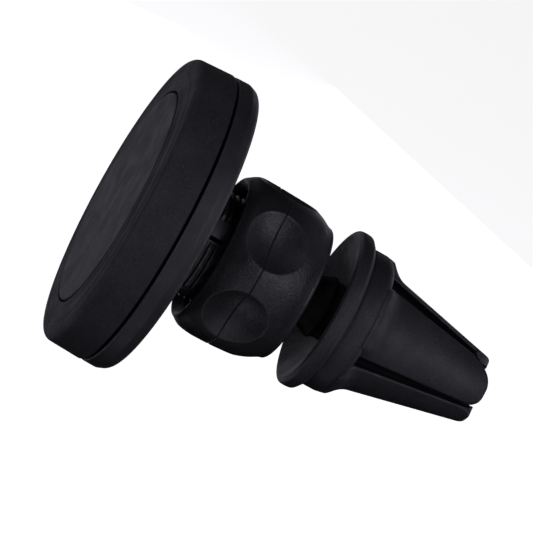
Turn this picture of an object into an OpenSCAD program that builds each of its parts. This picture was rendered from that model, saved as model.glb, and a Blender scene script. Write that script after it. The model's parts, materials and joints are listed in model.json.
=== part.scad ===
// Magnetic phone holder that clips onto a car's air vent blade.
// The main axis is Y: the phone rests on the disc that faces -Y, and the four jaws point to +Y.
// The origin is on the axis, at the floor of the jaw slots, where the front edge of a vent blade seats.
// The slot for horizontal blades lies in the XY plane, and the one for vertical blades in the YZ plane.

/* [Head] */
// Radius of the round head at its parting line
head_r = 19.9; // [19:0.1:21]
// How far the phone face stands in front of the slot floor
face_y = 34.9; // [34.8:0.1:35.5]
// Radius of the inset face pad
pad_r = 14.5; // [12:0.5:15.5]
// Number of magnets in the ring
magnet_count = 6; // [4:1:6]
// Radius of one magnet
magnet_r = 4; // [3:0.5:4]
// Thickness of one magnet
magnet_h = 3; // [2.5:0.1:3]

/* [Locking nut] */
// Largest radius of the nut
nut_r = 11.1; // [10.9:0.1:11.3]
// Number of thumb scallops around the nut
scallop_count = 6; // [5:1:7]
// Depth of a scallop
scallop_depth = 1.9; // [1.5:0.1:2.1]
// Pitch of the nut's thread
thread_pitch = 0.8; // [0.7:0.05:0.9]

/* [Ball joint] */
// Radius of the ball
ball_r = 5; // [4.8:0.1:5]
// Distance from the slot floor to the ball's centre
ball_y = 14.7; // [14.6:0.1:14.8]

/* [Vent clip] */
// Largest radius of the dished rubber flange
flange_r = 10.8; // [10.5:0.1:11.2]
// Largest radius of the rubber collar behind the flange
collar_r = 9.55; // [9:0.05:9.9]
// Length of the jaws
jaw_l = 17.3; // [15:0.1:20]
// Outside radius of the jaws at their roots
jaw_root_r = 8.1; // [7.8:0.1:8.2]
// Outside radius of the jaws at their tips
jaw_tip_r = 4.35; // [4:0.05:4.6]
// Width of the vertical slot at its floor
wide_slot_w = 3.1; // [2.4:0.1:3.2]
// Width of the horizontal slot at its floor
narrow_slot_w = 1.5; // [1.2:0.1:1.8]

/* [Hidden] */
$fn = 96;

black_rubber = [0.06, 0.06, 0.065];
black_plastic = [0.09, 0.09, 0.095];
grey_plastic = [0.35, 0.35, 0.36];
bright_steel = [0.75, 0.75, 0.77];

far = 60;               // longer than any part, for cuts that run right through
running_gap = 0.05;     // radial clearance of parts that turn or slide on each other
loose_gap = 0.1;        // clearance of parts that are dropped into a pocket

// Stations along the axis, from the phone face back to the jaw tips
pad_t = 0.8;
cover_wall = 1.6;
part_y = -29.2;                             // middle of the dark line between cover and housing
part_gap = 0.3;
cover_back = part_y - part_gap / 2;
housing_front = part_y + part_gap / 2;
housing_back = -25.5;
housing_wall = 1.5;
housing_floor = housing_back - housing_wall;
boss_y = -24.9;
cover_floor = -face_y + cover_wall;
cover_bore_r = head_r - 1.75;
spigot_r = cover_bore_r - running_gap;
spigot_bore_r = spigot_r - 1.3;
spigot_l = 2.2;
holder_r = spigot_bore_r - loose_gap;
holder_skin = 0.5;
yoke_t = 0.9;
holder_back = cover_floor + holder_skin + magnet_h + loose_gap;
magnet_ring_r = 10.8;

// Ball joint
ball_c = -ball_y;
pad_in_r = ball_r + running_gap;
pad_out_r = pad_in_r + 0.6;
seat_in_r = pad_out_r + running_gap;
pad_half_angle = 40;
seat_r = 5.9;
seat_floor = ball_c - seat_in_r - 1;
seat_mouth = ball_c - 3.1;
socket_r = ball_r + running_gap;
socket_mouth_angle = 49.5;                  // from the axis to the edge of the socket, seen from the ball
collet_tip = ball_c + socket_r * cos(socket_mouth_angle);
thread_r = 7.2;
thread_depth = 0.42;
thread_start = -24.6;
thread_end = -17.6;
cone_tip_r = 5.8;
collet_flange_r = 11.6;
collet_flange_t = 1.6;
finger_slot_w = 0.9;
finger_count = 4;
land_r = thread_r - 0.15;
land_angle = 22;                            // smooth land beside each finger slot, where the thread stops
finger_phase = 37;
screw_count = 3;
screw_ring_r = 9.5;
screw_tip_y = housing_back - 0.4;            // the screws stop inside the housing's wall

// Nut
nut_mouth = -21.6;
nut_end = -9.05;
nut_wide_y = -16.6;                         // the widest section
scallop_y = -16.25;                         // where the scallops are centred
nut_bore_r = thread_r + running_gap;
nut_wall_y = -10.4;                         // inner face of the nut's end wall
nut_mouth_r = 8.5;
scallop_phase = 53;
scallop_r = 7.6;

// Clip
neck_r = 2.2;
neck_mid_r = 3.5;
neck_flare_r = 4.25;
neck_flare_y = -5.4;
neck_foot_r = 3.8;
flange_front = -5.9;
flange_edge_r = 0.5;
flange_back_r = 1.1;
dish_y = -3.6;                              // floor of the dish round the neck
collar_front = -3.6;
collar_edge_r = 1.35;
core_r = 7.6;
core_front = -3.1;
core_back = -1;
fit_gap = 0.02;                             // moulded rubber on its hard core
jaw_gap = 0.15;                             // between the clip's collar and the roots of the jaws
sleeve_t = 1.1;
core_t = 1.5;
tip_corner_r = 2.4;
tongue_lean = 2.5;                          // each tongue sits a little nearer the narrow slot

// Points of an arc about [cx, cy], in the half plane of a turned profile
function arc(cx, cy, r, from, to, steps = 6) =
    [for (i = [0:steps]) [cx + r * cos(from + (to - from) * i / steps), cy + r * sin(from + (to - from) * i / steps)]];

// Outside radius of the jaws at a distance from the slot floor
function jaw_r(y) = jaw_root_r - (jaw_root_r - jaw_tip_r) * y / jaw_l;

// Solid of revolution about Y, from [radius, y] points
module turned(points) {
    rotate([-90, 0, 0])
        rotate_extrude()
            polygon(points);
}

// Cylinder about Y between two stations
module rod(r, y0, y1) {
    translate([0, y0, 0])
        rotate([-90, 0, 0])
            cylinder(r = r, h = y1 - y0);
}

// Cone about Y between two stations
module cone(r0, r1, y0, y1) {
    translate([0, y0, 0])
        rotate([-90, 0, 0])
            cylinder(r1 = r0, r2 = r1, h = y1 - y0);
}

// Turns its children about Y, from +X towards +Z
module around(angle) {
    rotate([0, -angle, 0])
        children();
}

// ---- Head ----

// Thin pad that the phone touches, let into the front cover
module face_pad() {
    color(black_rubber)
        turned(concat([[0, -face_y + pad_t]], [[0, -face_y]], arc(pad_r - 0.25, -face_y + 0.25, 0.25, -90, 0, 3),
            [[pad_r, -face_y + pad_t]]));
}

// Rubber-skinned cap with a soft rounded front edge
module front_cover() {
    edge_r = 1.9;
    side_r = head_r - 0.2;
    color(black_rubber)
        difference() {
            turned(concat([[0, cover_back], [0, -face_y + 0.05], [17, -face_y + 0.12]],
                arc(side_r - edge_r, -face_y + edge_r + 0.2, edge_r, -80, 0), [[head_r, cover_back]]));
            rod(pad_r + 0.2, -face_y - 1, -face_y + pad_t);
            rod(cover_bore_r, cover_floor, cover_back + 1);
        }
}

// One disc magnet of the ring
module magnet(i) {
    color(bright_steel)
        around(360 * i / magnet_count)
            translate([magnet_ring_r, 0, 0])
                rod(magnet_r, cover_floor + holder_skin, cover_floor + holder_skin + magnet_h);
}

// Tray that spaces the magnets
module magnet_holder() {
    color(grey_plastic)
        difference() {
            rod(holder_r, cover_floor, holder_back);
            for (i = [0:magnet_count - 1])
                around(360 * i / magnet_count)
                    translate([magnet_ring_r, 0, 0])
                        rod(magnet_r + running_gap, cover_floor + holder_skin, holder_back + 1);
            rod(4, cover_floor - 1, holder_back + 1);
        }
}

// Steel disc behind the magnets that closes their field
module yoke_plate() {
    color(bright_steel)
        difference() {
            rod(holder_r, holder_back, holder_back + yoke_t);
            rod(2, holder_back - 1, holder_back + yoke_t + 1);
        }
}

// Hard rear shell with a spigot inside the cover and a boss around the collet
module rear_housing() {
    edge_r = 2.3;
    color(black_plastic)
        difference() {
            union() {
                turned(concat([[0, housing_front], [head_r - 0.1, housing_front]],
                    arc(head_r - edge_r, housing_back - edge_r, edge_r, 0, 80),
                    [[15, housing_back], [9.6, housing_back], [8.8, boss_y], [0, boss_y]]));
                rod(spigot_r, housing_front - spigot_l, housing_front + 0.5);
            }
            rod(spigot_bore_r, housing_front - spigot_l - 1, housing_floor);
            rod(thread_r + running_gap, housing_floor - 1, 0);
            screw_places()
                rod(0.95, housing_floor - 1, screw_tip_y + running_gap);
        }
}

// Puts its children at each screw of the collet's flange
module screw_places() {
    for (i = [0:screw_count - 1])
        around(360 * i / screw_count + 15)
            translate([screw_ring_r, 0, 0])
                children();
}

// Countersunk screws that hold the collet in the rear housing
module collet_screws() {
    front = housing_floor - collet_flange_t;
    color(bright_steel)
        screw_places()
            difference() {
                union() {
                    cone(1.8, 0.93, front, front + 0.9);
                    rod(0.93, front + 0.8, screw_tip_y);
                }
                translate([0, front, 0])
                    cube([2.4, 0.8, 0.5], center = true);
            }
}

// ---- Socket ----

// Ridges of the thread, as closed rings
function thread_points() =
    let (turns = floor((thread_end - thread_start) / thread_pitch))
    [for (i = [0:turns - 1]) for (p = [
        [thread_r - thread_depth, thread_start + i * thread_pitch],
        [thread_r, thread_start + (i + 0.38) * thread_pitch],
        [thread_r, thread_start + (i + 0.56) * thread_pitch],
        [thread_r - thread_depth, thread_start + (i + 0.94) * thread_pitch]]) p];

// Threaded tube whose slotted fingers close on the ball
module collet() {
    flange_front = housing_floor - collet_flange_t;
    floor_y = seat_floor - running_gap;
    color(black_plastic)
        difference() {
            union() {
                turned(concat([[0, flange_front], [collet_flange_r, flange_front], [collet_flange_r, housing_floor],
                    [thread_r, housing_floor], [thread_r, thread_start - 0.2]], thread_points(),
                    [[thread_r - thread_depth, thread_end], [cone_tip_r, collet_tip], [0, collet_tip]]));
                finger_lands();
            }
            rod(seat_r + running_gap, floor_y, seat_mouth + running_gap);
            translate([0, ball_c, 0])
                sphere(r = socket_r);
            rod(5, flange_front - 1, floor_y - 1.4);
            for (i = [0:finger_count - 1])
                around(finger_phase + 360 * i / finger_count) {
                    translate([seat_r - 0.4, thread_start + 0.3, -finger_slot_w / 2])
                        cube([far, far, finger_slot_w]);
                    translate([0, floor_y + 0.3, -finger_slot_w / 2])
                        cube([far, far, finger_slot_w]);
                }
            screw_places() {
                rod(1, flange_front - 1, housing_floor + 1);
                cone(1.9, 1, flange_front - 0.05, flange_front + 0.95);
            }
        }
}

// Smooth strips where each finger's thread stops short of the slot
module finger_lands() {
    for (i = [0:finger_count - 1])
        around(finger_phase + land_angle + 360 * i / finger_count)
            rotate([-90, 0, 0])
                rotate_extrude(angle = land_angle)
                    translate([seat_r + 0.2, thread_start + 0.1])
                        square([land_r - seat_r - 0.2, thread_end - thread_start - 0.2]);
}

// Round cup behind the friction pad
module ball_seat() {
    color(grey_plastic)
        difference() {
            rod(seat_r, seat_floor, seat_mouth);
            translate([0, ball_c, 0])
                sphere(r = seat_in_r);
        }
}

// Soft skullcap that grips the front of the ball
module friction_pad() {
    color(black_rubber)
        translate([0, ball_c, 0])
            turned(concat(arc(0, 0, pad_out_r, -90, -90 + pad_half_angle, 10),
                arc(0, 0, pad_in_r, -90 + pad_half_angle, -90, 10)));
}

// Ring with a tapered bore that squeezes the fingers as the nut comes down
module clamp_ring() {
    front = ball_c - 0.4;
    slope = (thread_r - thread_depth - cone_tip_r) / (collet_tip - thread_end);
    gap = 0.06;
    ring_r = thread_r - 0.05;
    color(bright_steel)
        turned([[cone_tip_r + slope * (collet_tip - front) + gap, front], [ring_r, front],
            [ring_r, nut_wall_y - running_gap], [cone_tip_r + gap, nut_wall_y - running_gap],
            [cone_tip_r + gap, collet_tip]]);
}

// Barrel-shaped nut with thumb scallops, turned to lock the ball
module locking_nut() {
    color(black_plastic)
        difference() {
            turned([[0, nut_mouth], [9.4, nut_mouth], [9.85, nut_mouth + 0.3], [10.45, nut_mouth + 1.4],
                [10.85, nut_wide_y - 2.4], [nut_r - 0.05, nut_wide_y - 1.1], [nut_r, nut_wide_y],
                [nut_r - 0.09, nut_wide_y + 1.3], [nut_r - 0.32, nut_wide_y + 2.8], [nut_r - 0.7, nut_wide_y + 4.3],
                [nut_r - 1.18, nut_wide_y + 5.6], [9.4, nut_end - 1.1], [9.05, nut_end - 0.35],
                [8.3, nut_end], [0, nut_end]]);
            rod(nut_bore_r, nut_mouth - 1, nut_wall_y);
            rod(nut_mouth_r, nut_mouth - 1, nut_mouth + 2.4);
            cone(5.4, 6.2, nut_wall_y - 0.01, nut_end + 0.01);
            for (i = [0:scallop_count - 1])
                around(scallop_phase + 360 * i / scallop_count)
                    translate([nut_r - scallop_depth + scallop_r, scallop_y, 0])
                        sphere(r = scallop_r);
        }
}

// ---- Vent clip ----

// Outline of the stud's flared neck and hard core, from the ball to the slot floor
function stud_points(gap) = [
    [0, ball_c], [neck_r, ball_c], [neck_r, neck_flare_y - 4.4], [neck_mid_r, neck_flare_y - 1.8],
    [neck_flare_r - 0.05, neck_flare_y - 0.1],
    [neck_flare_r, neck_flare_y + 0.1], [neck_flare_r - 0.15, neck_flare_y + 0.35], [neck_foot_r, neck_flare_y + 0.6],
    [neck_foot_r + gap, core_front - 1.5], [neck_foot_r + gap, core_front - gap], [core_r + gap, core_front - gap],
    [core_r + gap, core_back + gap], [0, core_back + gap]];

// Ball, neck and the hard core inside the rubber boot
module ball_stud() {
    color(black_plastic)
        union() {
            translate([0, ball_c, 0])
                sphere(r = ball_r);
            turned(stud_points(0));
        }
}

// Soft dished flange and collar moulded over the core
module clip_boot() {
    color(black_rubber)
        difference() {
            turned(concat([[0, dish_y + 0.05], [neck_foot_r + 0.6, dish_y]],
                arc(flange_r - flange_edge_r, flange_front + flange_edge_r, flange_edge_r, -110, 0),
                arc(flange_r - flange_back_r, collar_front - flange_back_r, flange_back_r, 0, 75),
                [[collar_r - 0.35, collar_front + 0.08], [collar_r, collar_front + 0.45]],
                arc(collar_r - collar_edge_r, -collar_edge_r, collar_edge_r, 0, 85), [[0, 0]]));
            turned(stud_points(fit_gap));
        }
}

// Wedge between the two slots, in the quadrant of jaw i
module slot_wedge(i) {
    slot_close = [wide_slot_w / 2 - 0.5, narrow_slot_w / 2 - 0.27];
    wide_tilt = atan(slot_close[0] / jaw_l);
    narrow_tilt = atan(slot_close[1] / jaw_l);
    mirror([i == 1 || i == 2 ? 1 : 0, 0, 0])
        mirror([0, 0, i == 2 || i == 3 ? 1 : 0])
            intersection() {
                translate([wide_slot_w / 2, 0, 0])
                    rotate([0, 0, wide_tilt])
                        translate([0, -far / 2, -far / 2])
                            cube([far, far, far]);
                translate([0, 0, narrow_slot_w / 2])
                    rotate([-narrow_tilt, 0, 0])
                        translate([-far / 2, -far / 2, 0])
                            cube([far, far, far]);
            }
}

// Tongue with rounded corners, seen from outside jaw i
module tongue(i, shorter = 0) {
    half_w = 3 + jaw_root_r;
    tip_half_w = 2.75;
    lean = (i % 2 == 0 ? -1 : 1) * tongue_lean;
    around(45 + 90 * i + lean)
        rotate([0, 90, 0])
            linear_extrude(height = far) {
                translate([-half_w, 0])
                    square([2 * half_w, jaw_l - tip_corner_r - shorter]);
                translate([tip_corner_r - tip_half_w, 0])
                    square([2 * (tip_half_w - tip_corner_r), jaw_l - shorter]);
                for (side = [-1, 1])
                    translate([side * (tip_half_w - tip_corner_r), jaw_l - tip_corner_r - shorter])
                        circle(r = tip_corner_r);
            }
}

// Hard finger of jaw i, with grip ribs on its slot faces
module jaw_core(i) {
    outer = sleeve_t + fit_gap;
    color(black_plastic)
        intersection() {
            turned([[jaw_root_r - outer - core_t, jaw_gap], [jaw_root_r - outer, jaw_gap],
                [jaw_r(jaw_l) - outer, jaw_l], [jaw_r(jaw_l) - outer - core_t, jaw_l]]);
            slot_wedge(i);
            tongue(i, 0.5);
        }
}

// Rubber skin over the outside of jaw i
module jaw_sleeve(i) {
    color(black_rubber)
        intersection() {
            turned([[jaw_root_r - sleeve_t, jaw_gap], [jaw_root_r, jaw_gap], [jaw_r(jaw_l), jaw_l],
                [jaw_r(jaw_l) - sleeve_t, jaw_l]]);
            slot_wedge(i);
            tongue(i);
        }
}

face_pad();
front_cover();
for (i = [1:magnet_count])
    magnet(i - 1);
magnet_holder();
yoke_plate();
rear_housing();
collet();
collet_screws();
ball_seat();
friction_pad();
clamp_ring();
locking_nut();
ball_stud();
clip_boot();
for (i = [0:3])
    jaw_core(i);
for (i = [0:3])
    jaw_sleeve(i);
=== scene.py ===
"""Looks of a magnetic phone holder that clips onto a car's air vent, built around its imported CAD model.

Lengths in this script are millimetres until a mesh is made. The main axis is Y: the phone face looks along -Y
and the four jaws point along +Y. Outlines of turned pieces are (radius, y) points.
"""

import json
import math

import bmesh
import bpy
import numpy as np
from mathutils import Matrix, Vector


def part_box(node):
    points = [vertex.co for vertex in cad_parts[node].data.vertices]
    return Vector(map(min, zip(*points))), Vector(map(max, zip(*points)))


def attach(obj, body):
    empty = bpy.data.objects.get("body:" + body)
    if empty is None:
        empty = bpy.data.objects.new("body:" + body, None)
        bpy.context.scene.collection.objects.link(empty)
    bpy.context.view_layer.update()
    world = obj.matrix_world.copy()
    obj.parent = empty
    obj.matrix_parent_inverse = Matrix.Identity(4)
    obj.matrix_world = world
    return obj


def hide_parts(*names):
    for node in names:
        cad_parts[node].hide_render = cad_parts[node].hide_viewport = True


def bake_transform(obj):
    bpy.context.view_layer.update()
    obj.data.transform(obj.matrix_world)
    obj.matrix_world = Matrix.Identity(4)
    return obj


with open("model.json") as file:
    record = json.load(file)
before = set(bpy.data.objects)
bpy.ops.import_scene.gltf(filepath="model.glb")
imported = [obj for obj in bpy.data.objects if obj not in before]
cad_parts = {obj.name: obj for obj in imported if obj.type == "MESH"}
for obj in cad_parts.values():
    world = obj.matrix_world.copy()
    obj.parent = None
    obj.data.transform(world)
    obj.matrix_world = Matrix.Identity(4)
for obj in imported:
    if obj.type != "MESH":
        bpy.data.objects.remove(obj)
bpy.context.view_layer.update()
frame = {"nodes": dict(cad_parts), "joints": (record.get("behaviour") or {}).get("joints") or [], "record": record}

MM = 0.001
TURN = 2 * math.pi


def node_box(node):
    """Lowest and highest corner of a CAD node, in millimetres."""
    low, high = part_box(node)
    return low / MM, high / MM


def joint(name):
    return next(j for j in frame["joints"] if j["name"] == name)


# ---- Sizes taken from the frame ----

PAD_LOW, PAD_HIGH = node_box("face_pad")
COVER_LOW, COVER_HIGH = node_box("front_cover")
HOUSING_LOW, HOUSING_HIGH = node_box("rear_housing")
COLLET_LOW, COLLET_HIGH = node_box("collet")
NUT_LOW, NUT_HIGH = node_box("locking_nut")
BOOT_LOW, BOOT_HIGH = node_box("clip_boot")
STUD_LOW, STUD_HIGH = node_box("ball_stud")
SLEEVE_LOW, SLEEVE_HIGH = node_box("jaw_sleeve_1")
BALL_Y = joint("head_tilt")["pos_m"][1] / MM
BALL_R = BALL_Y - STUD_LOW.y
PITCH = TURN / frame["record"]["behaviour"]["couplings"][0]["ratio"] / MM


# ---- Outlines ----

def arc(centre_r, centre_y, radius, start, end, steps=8):
    """Points of an arc in an outline, between two angles in degrees (0 points outwards, 90 along +Y)."""
    angles = [math.radians(start + (end - start) * i / steps) for i in range(steps + 1)]
    return [(centre_r + radius * math.cos(a), centre_y + radius * math.sin(a)) for a in angles]


def rounded(corners, steps=5):
    """Closed outline from (r, y, fillet) corners.

    Support points beside each fillet keep flat faces flat in shading.
    """
    out = []
    count = len(corners)
    for i in range(count):
        here = Vector(corners[i][:2])
        fillet = corners[i][2] if len(corners[i]) > 2 else 0
        before = Vector(corners[i - 1][:2]) - here
        after = Vector(corners[(i + 1) % count][:2]) - here
        if fillet <= 0 or before.length < 1e-6 or after.length < 1e-6:
            out.append((here.x, here.y))
            continue
        angle = before.angle(after)
        reach = fillet / math.tan(angle / 2)
        longest = 0.49 * min(before.length, after.length)
        if reach > longest:
            reach = longest
            fillet = reach * math.tan(angle / 2)
        first = here + before.normalized() * reach
        last = here + after.normalized() * reach
        inwards = (before.normalized() + after.normalized()).normalized()
        centre = here + inwards * (fillet / math.sin(angle / 2))
        support = min(0.3 * fillet + 0.03, 0.3 * (before.length - reach), 0.3 * (after.length - reach))
        out.append(tuple(first + before.normalized() * support))
        from_angle = math.atan2(first.y - centre.y, first.x - centre.x)
        to_angle = math.atan2(last.y - centre.y, last.x - centre.x)
        sweep = (to_angle - from_angle + math.pi) % TURN - math.pi
        for k in range(steps + 1):
            a = from_angle + sweep * k / steps
            out.append((centre.x + fillet * math.cos(a), centre.y + fillet * math.sin(a)))
        out.append(tuple(last + after.normalized() * support))
    return out


def smooth_line(points, steps):
    """Points of a smooth curve through (r, y) points, evenly spread between each two."""
    p = [Vector(q) for q in points]
    out = []
    for i in range(len(p) - 1):
        before = p[max(i - 1, 0)]
        after = p[min(i + 2, len(p) - 1)]
        for k in range(steps):
            t = k / steps
            a = (p[i + 1] - before) * 0.5
            b = (after - p[i]) * 0.5
            out.append(tuple((2 * t**3 - 3 * t**2 + 1) * p[i] + (t**3 - 2 * t**2 + t) * a
                             + (3 * t**2 - 2 * t**3) * p[i + 1] + (t**3 - t**2) * b))
    out.append(tuple(p[-1]))
    return out


# ---- Meshes ----

def mesh_object(name, bm, sharp=40):
    """Object of a finished bmesh given in millimetres, smooth except at edges sharper than the angle."""
    bmesh.ops.remove_doubles(bm, verts=bm.verts, dist=1e-5)
    bmesh.ops.recalc_face_normals(bm, faces=bm.faces)
    bmesh.ops.scale(bm, vec=(MM, MM, MM), verts=bm.verts)
    data = bpy.data.meshes.new(name)
    bm.to_mesh(data)
    bm.free()
    data.polygons.foreach_set("use_smooth", [True] * len(data.polygons))
    data.set_sharp_from_angle(angle=math.radians(sharp))
    store_convexity(data)
    obj = bpy.data.objects.new(name, data)
    bpy.context.scene.collection.objects.link(obj)
    return obj


def store_convexity(data):
    """Stores at each vertex how the surface turns there: 0.5 where flat, more on convex edges."""
    count = len(data.vertices)
    place, normal = np.empty(count * 3), np.empty(count * 3)
    data.vertices.foreach_get("co", place)
    data.vertex_normals.foreach_get("vector", normal)
    place, normal = place.reshape(-1, 3), normal.reshape(-1, 3)
    ends = np.empty(len(data.edges) * 2, dtype=np.int32)
    data.edges.foreach_get("vertices", ends)
    first, last = ends.reshape(-1, 2).T
    way = place[last] - place[first]
    way /= np.maximum(np.linalg.norm(way, axis=1, keepdims=True), 1e-12)
    total = np.zeros((count, 3))
    np.add.at(total, first, way)
    np.subtract.at(total, last, way)
    edges_at = np.maximum(np.bincount(ends, minlength=count), 1)
    lean = (total * normal).sum(axis=1) / edges_at
    turn = np.arccos(np.clip(lean, -1, 1)) / math.pi
    around = np.zeros(count)
    np.add.at(around, first, turn[last])
    np.add.at(around, last, turn[first])
    turn = (turn + around) / (edges_at + 1)
    data.attributes.new("convexity", "FLOAT", "POINT").data.foreach_set("value", turn)


def add_turned(bm, outline, segments=256, start=0, sweep=360, shape=None):
    """Adds a turned solid. A sweep under 360 degrees gets flat ends. shape(r, y, angle) may move a point."""
    whole = sweep >= 360
    columns = segments if whole else segments + 1
    rings = []
    for r, y in outline:
        ring = []
        for i in range(columns):
            a = math.radians(start + sweep * i / segments)
            rr, yy = shape(r, y, a) if shape else (r, y)
            ring.append(bm.verts.new((rr * math.cos(a), yy, rr * math.sin(a))))
        rings.append(ring)
    count = len(rings)
    for j in range(count):
        ring, after = rings[j], rings[(j + 1) % count]
        for i in range(segments):
            n = (i + 1) % columns
            bm.faces.new((ring[i], ring[n], after[n], after[i]))
    if not whole:
        bm.faces.new([ring[0] for ring in rings])
        bm.faces.new([ring[-1] for ring in reversed(rings)])


def turned(name, outline, segments=256, shape=None, sharp=40):
    bm = bmesh.new()
    add_turned(bm, outline, segments, shape=shape)
    return mesh_object(name, bm, sharp)


# ---- Materials ----

class Surface:
    """A Principled material with helpers for the procedural detail of moulded rubber, plastic and metal."""

    def __init__(self, name, roughness, specular=0.5, metallic=0.0):
        self.material = bpy.data.materials.new(name)
        self.material.use_nodes = True
        self.nodes = self.material.node_tree.nodes
        self.links = self.material.node_tree.links
        self.shader = self.nodes["Principled BSDF"]
        self.shader.inputs["Roughness"].default_value = roughness
        self.shader.inputs["Specular IOR Level"].default_value = specular
        self.shader.inputs["Metallic"].default_value = metallic
        self.place = self.nodes.new("ShaderNodeTexCoord").outputs["Object"]
        self.normal = None

    def node(self, kind, **values):
        node = self.nodes.new(kind)
        for key, value in values.items():
            if isinstance(value, bpy.types.NodeSocket):
                self.links.new(value, node.inputs[key])
            elif key in node.inputs.keys():
                node.inputs[key].default_value = value
            else:
                setattr(node, key, value)
        return node

    def stretched(self, scale):
        """Object coordinates scaled by (x, y, z)."""
        node = self.node("ShaderNodeMapping", Vector=self.place)
        node.inputs["Scale"].default_value = scale
        return node.outputs["Vector"]

    def noise(self, size, detail=2.0, roughness=0.5, place=None):
        """Noise with features about as large as size, in millimetres."""
        node = self.node("ShaderNodeTexNoise", Vector=place or self.place, Scale=1 / (size * MM),
                         Detail=detail, Roughness=roughness)
        return node.outputs["Fac"]

    def cells(self, size, feature="F1"):
        """Distance to the middle of scattered cells about as large as size, in millimetres."""
        node = self.node("ShaderNodeTexVoronoi", feature=feature, Vector=self.place,
                         Scale=1 / (size * MM))
        return node.outputs["Distance"]

    def ramp(self, value, low, high, to_low=0.0, to_high=1.0, smooth=True):
        """Maps low..high of a value to to_low..to_high, clamped."""
        node = self.nodes.new("ShaderNodeMapRange")
        node.interpolation_type = "SMOOTHSTEP" if smooth else "LINEAR"
        self.links.new(value, node.inputs["Value"])
        for key, number in (("From Min", low), ("From Max", high), ("To Min", to_low), ("To Max", to_high)):
            node.inputs[key].default_value = number
        return node.outputs["Result"]

    def math(self, operation, a, b=0.0):
        node = self.nodes.new("ShaderNodeMath")
        node.operation = operation
        for socket, value in zip(node.inputs, (a, b)):
            if isinstance(value, bpy.types.NodeSocket):
                self.links.new(value, socket)
            else:
                socket.default_value = value
        return node.outputs["Value"]

    def mix(self, factor, a, b):
        node = self.nodes.new("ShaderNodeMix")
        node.data_type = "RGBA"
        self.links.new(factor, node.inputs["Factor"])
        for socket, value in ((node.inputs[6], a), (node.inputs[7], b)):
            if isinstance(value, bpy.types.NodeSocket):
                self.links.new(value, socket)
            else:
                socket.default_value = (*value, 1)
        return node.outputs[2]

    def edges(self):
        """1 on convex edges, 0 elsewhere."""
        convexity = self.node("ShaderNodeAttribute", attribute_name="convexity").outputs["Fac"]
        return self.ramp(convexity, 0.52, 0.62)

    def facing_slots(self):
        """1 on faces that look along X or Z, 0 on faces turned away from both."""
        normal = self.nodes.new("ShaderNodeTexCoord").outputs["Normal"]
        split = self.node("ShaderNodeSeparateXYZ", Vector=normal)
        square = self.math("MAXIMUM", self.math("ABSOLUTE", split.outputs["X"]),
                           self.math("ABSOLUTE", split.outputs["Z"]))
        return self.ramp(square, 0.992, 0.998)

    def bump(self, height, depth, strength=1.0):
        """Adds a bump of this depth in millimetres over what is there already."""
        node = self.nodes.new("ShaderNodeBump")
        node.inputs["Distance"].default_value = depth * MM
        node.inputs["Strength"].default_value = strength
        self.links.new(height, node.inputs["Height"])
        if self.normal:
            self.links.new(self.normal, node.inputs["Normal"])
        self.normal = node.outputs["Normal"]
        self.links.new(self.normal, self.shader.inputs["Normal"])

    def set(self, socket, value):
        self.links.new(value, self.shader.inputs[socket])


def slot_colour(slot):
    """The record's base colour of a material slot."""
    row = next(m for m in frame["record"]["materials"] if m["slot"] == slot)
    return tuple(row["base_color"][:3])


def shaded(colour, factor):
    return tuple(min(1.0, c * factor) for c in colour)


def dusty_rubber(name, slot, roughness, dust=0.5, specular=0.4, skin=1.0, painted_slot_shade=False):
    """Soft black rubber with a fine pitted skin, faint cloudiness, specks of dust, and convex edges lightened in
    patches, partly rubbed wear and partly a painted edge highlight.

    With the slot-shade switch on, faces that look along X or Z get painted shade: a darker colour and less
    specular, standing in for the shade inside the clip's slots.
    """
    s = Surface(name, roughness, specular)
    base = slot_colour(slot)
    clouds = s.ramp(s.noise(6, 3), 0.35, 0.7)
    colour = s.mix(clouds, shaded(base, 0.82), shaded(base, 1.18))
    grain = s.noise(0.27, 2, 0.65)
    colour = s.mix(s.ramp(grain, 0.56, 0.74), colour, shaded(base, 1.75))
    colour = s.mix(s.ramp(grain, 0.44, 0.3), colour, shaded(base, 0.5))
    patches = s.ramp(s.noise(3.5, 2), 0.5, 0.75)
    specks = s.math("MULTIPLY", s.ramp(s.cells(0.75), 0.19, 0.06), patches)
    colour = s.mix(s.math("MULTIPLY", specks, dust), colour, shaded(base, 5.0))
    # Convex edges lighter in patches: partly rubbed wear, partly a painted edge highlight.
    wear_and_painted_highlight = s.math("MULTIPLY", s.edges(), s.ramp(s.noise(0.9, 3), 0.35, 0.7))
    colour = s.mix(s.math("MULTIPLY", wear_and_painted_highlight, 0.45), colour, shaded(base, 2.4))
    # Painted shade: faces along X or Z, the slot walls, are darker and less specular.
    if painted_slot_shade:
        wall = s.facing_slots()
        colour = s.mix(wall, colour, shaded(base, 0.2))
        s.set("Specular IOR Level", s.ramp(wall, 0, 1, specular, 0.15, smooth=False))
    s.set("Base Color", colour)
    rough = s.ramp(s.noise(2.4, 4), 0.3, 0.7, roughness - 0.06, roughness + 0.06)
    s.set("Roughness", s.math("ADD", rough, s.math("MULTIPLY", specks, 0.15)))
    s.bump(s.noise(3, 2), 0.012, 0.5)
    s.bump(grain, 0.065 * skin, 1.0)
    s.bump(specks, 0.03, 0.8)
    return s.material


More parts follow.
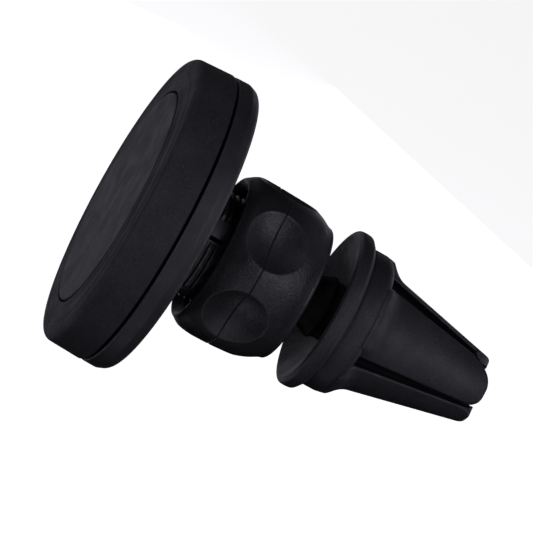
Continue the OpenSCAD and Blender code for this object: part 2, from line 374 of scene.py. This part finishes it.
def grained_plastic(name, slot, roughness, grain=0.16, depth=0.02, specular=0.5):
    """Black moulded plastic with a spark-eroded grain, a few specks of dust and slightly polished edges, whose
    lighter colour is a painted edge highlight.
    """
    s = Surface(name, roughness, specular)
    base = slot_colour(slot)
    clouds = s.ramp(s.noise(4, 3), 0.35, 0.7)
    colour = s.mix(clouds, shaded(base, 0.85), shaded(base, 1.15))
    pits = s.noise(grain, 2, 0.6)
    colour = s.mix(s.ramp(pits, 0.56, 0.72), colour, shaded(base, 1.6))
    specks = s.math("MULTIPLY", s.ramp(s.cells(0.8), 0.1, 0.03), s.ramp(s.noise(4, 2), 0.55, 0.75))
    colour = s.mix(s.math("MULTIPLY", specks, 0.5), colour, shaded(base, 4.5))
    edge = s.edges()
    # Convex edges: lighter colour as a painted edge highlight, lower roughness for real polish.
    colour = s.mix(s.math("MULTIPLY", edge, 0.6), colour, shaded(base, 2.2))
    s.set("Base Color", colour)
    rough = s.ramp(s.noise(1.2, 4), 0.3, 0.7, roughness - 0.06, roughness + 0.07)
    s.set("Roughness", s.math("SUBTRACT", rough, s.math("MULTIPLY", edge, 0.1)))
    s.bump(s.noise(3.0, 1), 0.015, 0.4)
    s.bump(s.cells(grain * 1.3, "SMOOTH_F1"), depth, 0.8)
    s.bump(pits, depth, 0.8)
    return s.material


def smooth_plastic(name, slot, roughness, specular=0.5):
    """Black moulded plastic from a polished tool, with faint flow marks and fine scratches."""
    s = Surface(name, roughness, specular)
    base = slot_colour(slot)
    s.set("Base Color", s.mix(s.ramp(s.noise(5, 2), 0.3, 0.7), shaded(base, 0.9), shaded(base, 1.1)))
    streaks = s.noise(0.5, 3, place=s.stretched((1, 0.08, 1)))
    s.set("Roughness", s.ramp(streaks, 0.3, 0.7, roughness - 0.05, roughness + 0.08))
    s.bump(s.noise(2.0, 2), 0.01, 0.5)
    s.bump(streaks, 0.004, 0.5)
    return s.material


def metal(name, slot, roughness, brushed=True):
    s = Surface(name, roughness, metallic=1.0)
    base = slot_colour(slot)
    s.set("Base Color", s.mix(s.ramp(s.noise(3, 3), 0.3, 0.7), shaded(base, 0.9), shaded(base, 1.08)))
    lines = s.noise(0.25, 3, place=s.stretched((1, 0.05, 1) if brushed else (1, 1, 1)))
    s.set("Roughness", s.ramp(lines, 0.3, 0.7, roughness - 0.06, roughness + 0.1))
    s.bump(lines, 0.004, 0.5)
    return s.material


MATERIALS = {
    "face_rubber": dusty_rubber("face_rubber", "face_rubber", 0.6, dust=0.4, skin=0.8),
    "cover_rubber": dusty_rubber("cover_rubber", "cover_rubber", 0.68, dust=0.8),
    "housing_plastic": grained_plastic("housing_plastic", "housing_plastic", 0.5),
    "nut_plastic": grained_plastic("nut_plastic", "nut_plastic", 0.42, grain=0.25, depth=0.038),
    "collet_plastic": smooth_plastic("collet_plastic", "collet_plastic", 0.42, specular=0.8),
    "stud_plastic": grained_plastic("stud_plastic", "stud_plastic", 0.5, depth=0.008, specular=0.35),
    "inner_plastic": smooth_plastic("inner_plastic", "inner_plastic", 0.45),
    "pad_rubber": dusty_rubber("pad_rubber", "pad_rubber", 0.7, dust=0.0, skin=0.6),
    "clip_rubber": dusty_rubber("clip_rubber", "clip_rubber", 0.52, dust=0.45, specular=0.5),
    "jaw_rubber": dusty_rubber("jaw_rubber", "clip_rubber", 0.52, dust=0.45, specular=0.5, painted_slot_shade=True),
    "jaw_plastic": smooth_plastic("jaw_plastic", "jaw_plastic", 0.4),
    "magnet_nickel": metal("magnet_nickel", "magnet_nickel", 0.18, brushed=False),
    "plate_steel": metal("plate_steel", "plate_steel", 0.35),
    "screw_steel": metal("screw_steel", "screw_steel", 0.3, brushed=False),
    "ring_steel": metal("ring_steel", "ring_steel", 0.3),
}


def finish_piece(obj, slot, body, *nodes):
    """Gives a piece its material, slot and body, and hides the CAD nodes that it stands for."""
    obj.data.materials.append(MATERIALS[slot])
    if body:
        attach(obj, body)
    if nodes:
        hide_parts(*nodes)
    return obj


# ---- Head ----

def make_face_pad():
    """Disc let into the cover, with a soft edge."""
    r = PAD_HIGH.x
    front, back = PAD_LOW.y, PAD_HIGH.y
    outline = rounded([(0.001, front), (r, front, 0.22), (r, back), (0.001, back)])
    return finish_piece(turned("phone_pad", outline, 192), "face_rubber", "head", "face_pad")


def make_front_cover():
    """Cap with a raised lip round the pad, a soft front edge, and a pocket for the magnets behind."""
    front, back = COVER_LOW.y, COVER_HIGH.y - 0.04
    r = COVER_HIGH.x
    groove_r = PAD_HIGH.x + 0.28
    pocket_r = r - 1.75
    pocket_y = front + 1.55
    ridge_r = r - 2.05
    outline = rounded([
        (0.001, PAD_HIGH.y), (groove_r, PAD_HIGH.y, 0.1), (groove_r, front - 0.02, 0.12),
        (groove_r + 0.55, front, 0.3), (groove_r + 1.0, front + 0.12, 0.4),
        (ridge_r - 0.45, front + 0.13, 0.2), (ridge_r - 0.2, front + 0.24, 0.12),
        (ridge_r, front + 0.13, 0.2), (r - 0.27, front + 0.3, 1.8),
        (r, back, 0.22), (pocket_r, back, 0.1), (pocket_r, pocket_y, 0.2), (0.001, pocket_y)], steps=8)
    return finish_piece(turned("rubber_cover", outline, 360), "cover_rubber", "head", "front_cover")


def make_rear_housing():
    """Rear shell with a full rounded shoulder, a spigot inside the cover and a boss round the collet."""
    spigot_front, boss = HOUSING_LOW.y, HOUSING_HIGH.y
    r = COVER_HIGH.x
    front = COVER_HIGH.y + 0.34
    back = boss - 0.6
    floor = back - 1.5
    spigot_r = r - 1.8
    bore = 7.25
    outline = rounded([
        (spigot_r - 1.3, spigot_front, 0.15), (spigot_r, spigot_front, 0.15), (spigot_r, front, 0.1),
        (r - 0.05, front, 0.2), (r, back - 1.7, 0.8), (r - 0.5, back - 0.35, 1.5), (r - 3.2, back, 20),
        (9.9, back, 0.4), (8.9, boss, 0.3), (bore, boss, 0.12), (bore, floor, 0.1),
        (spigot_r - 1.3, floor, 0.2)], steps=8)
    return finish_piece(turned("back_shell", outline, 360), "housing_plastic", "head", "rear_housing")


THREAD_R = 7.2
THREAD_DEPTH = 0.42
FINGERS = 4
FINGER_ANGLE = 360 / FINGERS
FINGER_PHASE = 37            # first finger slot, in degrees from +X towards +Z
FINGER_SLOT = 0.6
LAND_ANGLE = 22              # smooth land beside each finger slot
LAND_DEPTH = 0.12
THREAD_END_ANGLE = 86        # where the thread stops, short of the next slot
THREAD_FADE = 6              # over this angle the thread rises and falls at its ends


def threaded(r, y, angle):
    """Moves the outer points of the collet in and out along a helix of the nut's pitch."""
    if r < THREAD_R - 0.1:
        return r, y
    from_slot = (math.degrees(angle) - FINGER_PHASE) % FINGER_ANGLE
    if from_slot < LAND_ANGLE:
        return THREAD_R - LAND_DEPTH, y
    phase = (y / PITCH + angle / TURN) % 1
    fade = min(from_slot - LAND_ANGLE, THREAD_END_ANGLE - from_slot) / THREAD_FADE
    flanks = 2.3 - abs(phase - 0.5) * 6          # over 1 on the crest, under 0 in the root
    ridge = max(0.0, min(1.0, flanks, fade))
    return THREAD_R + THREAD_DEPTH * (ridge - 1), y


def make_collet():
    """Flanged tube with a helical thread, split into four fingers that end round the ball."""
    flange_front = COLLET_LOW.y
    tip = COLLET_HIGH.y
    flange_back = flange_front + 1.6
    flange_r = COLLET_HIGH.x
    bore = 5.0
    inner = 5.95
    tip_r = 5.8
    thread_start = flange_back + 2.4
    split = thread_start + 0.35
    thread_end = BALL_Y - 2.9
    root_r = THREAD_R - 0.15
    bm = bmesh.new()
    base = [(bore, flange_front), (flange_r, flange_front), (flange_r, flange_back), (root_r, flange_back),
            (root_r, split), (inner, split), (bore, split)]
    add_turned(bm, base, 256)
    socket_r = BALL_R + 0.05
    socket_l = 2.85          # stops short of the friction pad at full swing
    mouth = math.degrees(math.acos(min(1, (tip - BALL_Y) / socket_r)))
    rows = 120
    thread = [(THREAD_R, split + (thread_end - split) * i / rows) for i in range(rows + 1)]
    socket = arc(0, BALL_Y, socket_r, 90 - mouth, -math.degrees(math.asin(socket_l / socket_r)), 14)
    finger = [(root_r, split - 0.02)] + thread
    finger += [(THREAD_R - THREAD_DEPTH, thread_end + 0.05), (tip_r, tip)]
    finger += socket + [(inner, BALL_Y - socket_l), (inner, split - 0.02)]
    slot = math.degrees(FINGER_SLOT / THREAD_R)
    for k in range(FINGERS):
        start = FINGER_PHASE + FINGER_ANGLE * k + slot / 2
        add_turned(bm, finger, 64, start=start, sweep=FINGER_ANGLE - slot, shape=threaded)
    return finish_piece(mesh_object("threaded_collet", bm, 35), "collet_plastic", "head", "collet")


# ---- Locking nut ----

SCALLOPS = 6
SCALLOP_PHASE = math.radians(53)     # middle of the first scallop, from +X towards +Z
SCALLOP_BLEND = 0.12                 # softness of a scallop's rim


def make_locking_nut():
    """Barrel with six crisp thumb scallops, a mould line round them and an open mouth."""
    mouth, end = NUT_LOW.y, NUT_HIGH.y
    wide = mouth + 5.0
    barrel_r = 11.1
    scallop_y = wide + 0.5
    ball_r = 7.7
    depth = 1.85
    seam = wide + 0.05
    seam_w, seam_depth = 0.06, 0.13

    barrel = smooth_line([
        (9.88, mouth + 0.35), (10.45, mouth + 1.25), (10.9, mouth + 2.6), (barrel_r - 0.04, wide - 1.1),
        (barrel_r, wide), (barrel_r - 0.09, wide + 1.3), (barrel_r - 0.32, wide + 2.8),
        (barrel_r - 0.7, wide + 4.3), (barrel_r - 1.18, wide + 5.6), (9.42, end - 1.0),
        (9.18, end - 0.5)], 12)
    ring = [seam + seam_w * k / 3 for k in range(-7, 8)]
    barrel = [p for p in barrel if abs(p[1] - seam) > 3 * seam_w]
    barrel = sorted(barrel + [(barrel_r - 0.001, y) for y in ring], key=lambda p: p[1])
    outline = [(9.35, mouth)] + arc(9.45, mouth + 0.38, 0.38, -80, -10, 6) + barrel
    outline += arc(8.75, end - 0.42, 0.42, 10, 75, 6) + rounded(
        [(8.3, end, 0.2), (6.3, end, 0.3), (5.5, end - 1.4, 0.1), (5.5, end - 1.5), (7.25, end - 1.5),
         (7.25, mouth + 2.4, 0.1), (8.5, mouth + 2.4, 0.2), (8.5, mouth, 0.25)], 4)[1:]

    def scalloped(r, y, angle):
        if r < 8.6:
            return r, y
        groove = seam_depth * math.exp(-(((y - seam) / seam_w) ** 2))
        r -= groove
        step = TURN / SCALLOPS
        away = (angle - SCALLOP_PHASE + step / 2) % step - step / 2
        far = barrel_r - depth + ball_r
        inside = ball_r**2 - (y - scallop_y) ** 2 - (far * math.sin(away)) ** 2
        if inside <= 0:
            return r, y
        cut = far * math.cos(away) - math.sqrt(inside) - groove
        gap = max(SCALLOP_BLEND - abs(r - cut), 0) / SCALLOP_BLEND
        return min(r, cut) - gap * gap * SCALLOP_BLEND / 4, y

    nut = turned("thumb_nut", outline, 720, shape=scalloped, sharp=60)
    return finish_piece(nut, "nut_plastic", "locking_nut", "locking_nut")


# ---- Clip ----

def make_ball_stud():
    """Ball, slim neck and its flared foot, in one glossy moulding."""
    foot = BOOT_LOW.y + 0.2
    back = STUD_HIGH.y
    neck_r = 2.2
    core_r, core_front = 7.6, -3.1
    ball = arc(0, BALL_Y, BALL_R, -90, math.degrees(math.acos(neck_r / BALL_R)), 40)
    ball[0] = (0.001, ball[0][1])
    outline = ball + rounded([
        (neck_r, foot - 5.2, 0.5), (neck_r, foot - 4.3, 1.5), (3.5, foot - 1.8, 2.0), (4.2, foot - 0.1, 0.15),
        (4.1, foot + 0.35, 0.1), (3.8, foot + 0.6, 0.1), (3.8, core_front, 0.1), (core_r, core_front, 0.2),
        (core_r, back, 0.2), (0.001, back)], 5)[1:]
    return finish_piece(turned("ball_and_neck", outline, 192), "stud_plastic", "clip", "ball_stud")


def make_clip_boot():
    """Dished flange with a mould line round its rim, and collar, in one rubber moulding."""
    front = BOOT_LOW.y
    r = BOOT_HIGH.x
    collar_front = -3.6
    line_y = front + 0.95
    core_r, core_front = 7.65, -3.15
    outline = rounded([
        (3.85, -3.3, 0.1), (4.4, -3.62, 0.5), (r - 0.8, front, 0.3), (r - 0.05, front + 0.25, 0.4),
        (r, line_y - 0.1, 0.1), (r - 0.02, line_y, 0.03), (r, line_y + 0.1, 0.1),
        (r - 0.06, collar_front - 0.6, 0.5), (r - 0.75, collar_front, 0.6),
        (COLLAR_R - 0.12, collar_front + 0.06, 0.12), (COLLAR_R, collar_front + 0.5, 0.2),
        (COLLAR_R, -0.02, 1.35), (0.001, 0), (0.001, -0.9), (core_r, -0.9), (core_r, core_front),
        (3.85, core_front)], 8)
    boot = turned("rubber_boot", outline, 320)
    return finish_piece(boot, "clip_rubber", "clip", "clip_boot")


# ---- Jaws ----

COLLAR_R = 9.55
JAW_ROOT_R = 8.1
JAW_TIP_R = 4.35
SKIN = 1.1
CORE = 1.5
WIDE_SLOT = (1.55, 0.5)      # half widths of the vertical slot at its floor and at the tips
NARROW_SLOT = (0.75, 0.27)   # the same of the horizontal slot
TONGUE_ANGLE = 42.5          # middle of a tongue, from the narrow slot's plane
TONGUE_HALF_W = 2.75
WIDE_CORNER = 3.1            # tip corner beside the wide slot
NARROW_CORNER = 1.4          # tip corner beside the narrow slot
EASE_W, EASE_L = 0.6, 0.9    # how a rounded end leaves the slots' walls without a step
GUSSET_H, GUSSET_L = 1.2, 2.4        # swelling of the skin where it grows out of the collar
RIBS_FROM, RIB_DEPTH, RIB_PITCH = 8, 0.1, 0.8
JAW_SIGNS = ((1, 1), (-1, 1), (-1, -1), (1, -1))
JAW_L = SLEEVE_HIGH.y


def taper(ends, y):
    return ends[0] + (ends[1] - ends[0]) * y / JAW_L


def jaw_r(y):
    return taper((JAW_ROOT_R, JAW_TIP_R), y)


def tip_corner(w):
    """Radius and side offset of the tip corner that a point lies in, w from the tongue's middle."""
    corner = WIDE_CORNER if w > 0 else NARROW_CORNER
    return corner, TONGUE_HALF_W - corner


def tip_distance(w, y, tip):
    """Distance from a point of a tongue to the tongue's rounded end."""
    corner, flat = tip_corner(w)
    along = y - (tip - corner)
    side = abs(w) - flat
    if along <= 0:
        return corner - along
    return corner - math.hypot(max(side, 0.0), along) if side > 0 else tip - y


def tongue_reach(y, tip, side):
    """Half width of a tongue's rounded end on one side (1 beside the wide slot), or plenty ahead of it."""
    corner, flat = tip_corner(side)
    along = y - (tip - corner)
    if along <= 0:
        return JAW_L
    ease = EASE_W * max(0.0, 1 - along / EASE_L) ** 2
    return flat + math.sqrt(max(0.0, corner**2 - along**2)) + ease


def jaw_level(radius, rows, columns, tip, inset, wall_shape, fillet, sign, flare):
    """Grid of points on one layer of a jaw, whose rim is rounded off by fillet (towards sign: -1 inwards)."""
    middle = math.radians(TONGUE_ANGLE)
    grid = []
    for y in rows:
        r = radius(y)
        wide = taper(WIDE_SLOT, y) + inset + wall_shape(y)
        narrow = taper(NARROW_SLOT, y) + inset + wall_shape(y)
        low = max(math.asin(narrow / r), middle - math.asin(min(1.0, tongue_reach(y, tip, -1) / r)))
        high = min(math.acos(wide / r), middle + math.asin(min(1.0, tongue_reach(y, tip, 1) / r)))
        line = []
        for k in range(columns + 1):
            a = low + (high - low) * 0.5 * (1 - math.cos(math.pi * k / columns))
            edge = min((a - low) * r, (high - a) * r, tip - y)
            if y > tip - WIDE_CORNER:
                edge = min(edge, tip_distance(r * math.sin(a - middle), y, tip))
            edge = max(0.0, min(edge, fillet))
            drop = fillet - math.sqrt(max(0.0, fillet**2 - (fillet - edge) ** 2))
            rr = r + sign * drop + flare(y, min(a - low, high - a) * r)
            line.append((rr * math.cos(a), y, rr * math.sin(a)))
        grid.append(line)
    return grid


def jaw_mesh(name, signs, outer, inner, root, tip, inset, fillet, ripple, flare):
    """One layer of a jaw finger as a closed shell between two radii, with planar slot walls."""
    count, columns = 90, 44
    rows = [root + (tip - root) * math.sin(math.pi / 2 * k / count) for k in range(count + 1)]
    back_fillet = 0.1

    def level(depth, shaped, edge, sign):
        def radius(y):
            top = outer(y) - (fillet if depth > 0 else 0.0)
            bottom = inner(y) + (back_fillet if depth < 1 else 0.0)
            return top + (bottom - top) * depth
        return jaw_level(radius, rows, columns, tip, inset, lambda y: shaped * ripple(y), edge, sign,
                         flare if depth == 0 else no_flare)

    # From the outer surface (depth 0) to the inner one (depth 1), with the ripple on the walls' middle third.
    levels = [level(0, 0, fillet, -1), level(0.001, 0, 0, 1), level(0.3, 0, 0, 1), level(0.34, 1, 0, 1),
              level(0.66, 1, 0, 1), level(0.7, 0, 0, 1), level(0.999, 0, 0, 1), level(1, 0, back_fillet, 1)]
    bm = bmesh.new()
    sx, sz = signs

    def vertex(p):
        return bm.verts.new((p[0] * sx, p[1], p[2] * sz))

    def loop(grid):
        top = grid[0]
        right = [line[-1] for line in grid[1:]]
        bottom = list(reversed(grid[-1][:-1]))
        left = [line[0] for line in reversed(grid[1:-1])]
        return top + right + bottom + left

    for grid in (levels[0], levels[-1]):
        mesh = [[vertex(p) for p in line] for line in grid]
        for above, below in zip(mesh, mesh[1:]):
            for k in range(columns):
                bm.faces.new((above[k], above[k + 1], below[k + 1], below[k]))
    rings = [[vertex(p) for p in loop(grid)] for grid in levels]
    for ring, after in zip(rings, rings[1:]):
        for k in range(len(ring)):
            n = (k + 1) % len(ring)
            bm.faces.new((ring[k], ring[n], after[n], after[k]))
    return mesh_object(name, bm, 35)


def no_flare(y, from_slot):
    return 0.0


def make_jaw(index):
    """A hard finger with grip ribs on its slot faces, and the rubber skin that grows out of the collar."""
    number = str(index + 1)
    signs = JAW_SIGNS[index]
    body = "jaw_" + number

    def gusset(y, from_slot):
        return GUSSET_H * max(0.0, 1 - max(y, 0.0) / GUSSET_L) ** 2 * min(1.0, from_slot / 1.6)

    def ribs(y):
        strength = max(0.0, min(1.0, (y - RIBS_FROM) / 2)) * max(0.0, min(1.0, (JAW_L - 0.9 - y) / 0.5))
        return -RIB_DEPTH * strength * (0.5 + 0.5 * math.cos(TURN * y / RIB_PITCH))

    skin = jaw_mesh("jaw_skin_" + number, signs, jaw_r, lambda y: jaw_r(y) - SKIN, -0.7, JAW_L, 0.0, 0.25,
                    lambda y: 0.0, gusset)
    finish_piece(skin, "clip_rubber", None, "jaw_sleeve_" + number)
    skin.data.materials[0] = MATERIALS["jaw_rubber"]
    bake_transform(skin)
    core_r = SKIN + 0.03
    core = jaw_mesh("jaw_finger_" + number, signs, lambda y: jaw_r(y) - core_r,
                    lambda y: jaw_r(y) - core_r - CORE, 0.15, JAW_L - 0.5, 0.12, 0.0, ribs, no_flare)
    finish_piece(core, "jaw_plastic", body, "jaw_core_" + number)


# ---- Staging ----

PALE = (0.95, 0.95, 0.95)
ROOM_LIGHT = 0.03
LIGHT_TINT = (0.97, 0.95, 1.1)
SOFTBOX_DISTANCE = 0.7       # metres
SOFTBOX_SIZE = 0.45
# Softboxes: name, azimuth and elevation in degrees, power in watts
SOFTBOXES = (
    ("key_light", 28, 8, 1.05),
    ("front_light", 80, 0, 0.12),
    ("side_light", 104, -8, 0.3),
    ("right_light", 128, 36, 1.0),
    ("top_light", 118, 68, 0.1),
    ("low_left_light", -5, -50, 0.6),
    ("high_left_light", 0, 50, 0.28),
    ("low_right_light", 95, -55, 0.3),
    ("grazing_light", 283, -28, 0.29),
    ("rim_light", 300, 5, 0.12),
    ("back_light", 190, 0, 0.6),
    ("high_back_light", 215, 25, 0.08),
    ("far_light", 240, -12, 0.3),
)


def direction(azimuth, elevation):
    """Unit vector from the object, by degrees round from -Y towards +X and degrees up."""
    az, el = math.radians(azimuth), math.radians(elevation)
    return Vector((math.sin(az) * math.cos(el), -math.cos(az) * math.cos(el), math.sin(el)))


def look_at(obj, target):
    obj.rotation_euler = (target - obj.location).to_track_quat("-Z", "Y").to_euler()


def add_softbox(name, azimuth, elevation, power):
    """Soft square light aimed at the object."""
    data = bpy.data.lights.new(name, "AREA")
    data.shape = "SQUARE"
    data.size = SOFTBOX_SIZE
    data.energy = power
    data.color = LIGHT_TINT
    obj = bpy.data.objects.new(name, data)
    obj.location = direction(azimuth, elevation) * SOFTBOX_DISTANCE
    look_at(obj, Vector((0, -0.01, 0)))
    bpy.context.scene.collection.objects.link(obj)


def make_stage():
    scene = bpy.context.scene
    scene.view_settings.view_transform = "Standard"
    make_world(scene)
    make_floor(scene)
    for softbox in SOFTBOXES:
        add_softbox(*softbox)


def make_world(scene):
    """A pale room behind the object, which lights it only dimly, as a black product in a light tent needs."""
    world = bpy.data.worlds.new("studio")
    world.use_nodes = True
    nodes, links = world.node_tree.nodes, world.node_tree.links
    room = nodes["Background"]
    room.inputs["Strength"].default_value = ROOM_LIGHT
    backdrop = nodes.new("ShaderNodeBackground")
    backdrop.inputs["Color"].default_value = (*PALE, 1)
    backdrop.inputs["Strength"].default_value = 1.0
    mix = nodes.new("ShaderNodeMixShader")
    links.new(nodes.new("ShaderNodeLightPath").outputs["Is Camera Ray"], mix.inputs["Fac"])
    links.new(room.outputs["Background"], mix.inputs[1])
    links.new(backdrop.outputs["Background"], mix.inputs[2])
    links.new(mix.outputs["Shader"], nodes["World Output"].inputs["Surface"])
    scene.world = world


def make_floor(scene):
    """Large pale floor, well below the object, that throws no light back up at it."""
    bm = bmesh.new()
    half, height = 6.0, -0.3
    corners = ((-half, -half), (half, -half), (half, half), (-half, half))
    bm.faces.new([bm.verts.new((x, y, height)) for x, y in corners])
    data = bpy.data.meshes.new("floor")
    bm.to_mesh(data)
    bm.free()
    floor = bpy.data.objects.new("floor", data)
    scene.collection.objects.link(floor)
    pale = bpy.data.materials.new("pale_floor")
    pale.use_nodes = True
    shader = pale.node_tree.nodes["Principled BSDF"]
    shader.inputs["Base Color"].default_value = (*PALE, 1)
    shader.inputs["Roughness"].default_value = 0.8
    shader.inputs["Emission Color"].default_value = (*PALE, 1)
    shader.inputs["Emission Strength"].default_value = 0.9
    data.materials.append(pale)
    floor.visible_diffuse = False
    floor.visible_glossy = False


def make_camera():
    """Long lens from the right, above and slightly in front, rolled so that the axis falls to the right."""
    azimuth, elevation = 76.62, 27.84
    roll = math.radians(35.0)
    distance = 0.5
    aim = Vector((-0.003, -0.0135, -0.0003))
    back = direction(azimuth, elevation)
    camera = bpy.data.objects.new("camera", bpy.data.cameras.new("camera"))
    camera.data.sensor_width = 36
    camera.data.lens = 270
    camera.data.clip_start = 0.01
    camera.data.clip_end = 50
    camera.location = aim + back * distance
    turn = back.to_track_quat("Z", "Y").to_matrix() @ Matrix.Rotation(roll, 3, "Z")
    camera.rotation_euler = turn.to_euler()
    bpy.context.scene.collection.objects.link(camera)
    bpy.context.scene.camera = camera


make_camera()
make_stage()
make_face_pad()
make_front_cover()
make_rear_housing()
make_collet()
make_locking_nut()
make_ball_stud()
make_clip_boot()
for jaw in range(len(JAW_SIGNS)):
    make_jaw(jaw)

slots = {row["node"]: row["material_slot"] for row in frame["record"]["subparts"]}
for node, obj in frame["nodes"].items():
    obj.data.materials.clear()
    obj.data.materials.append(MATERIALS[slots[node]])
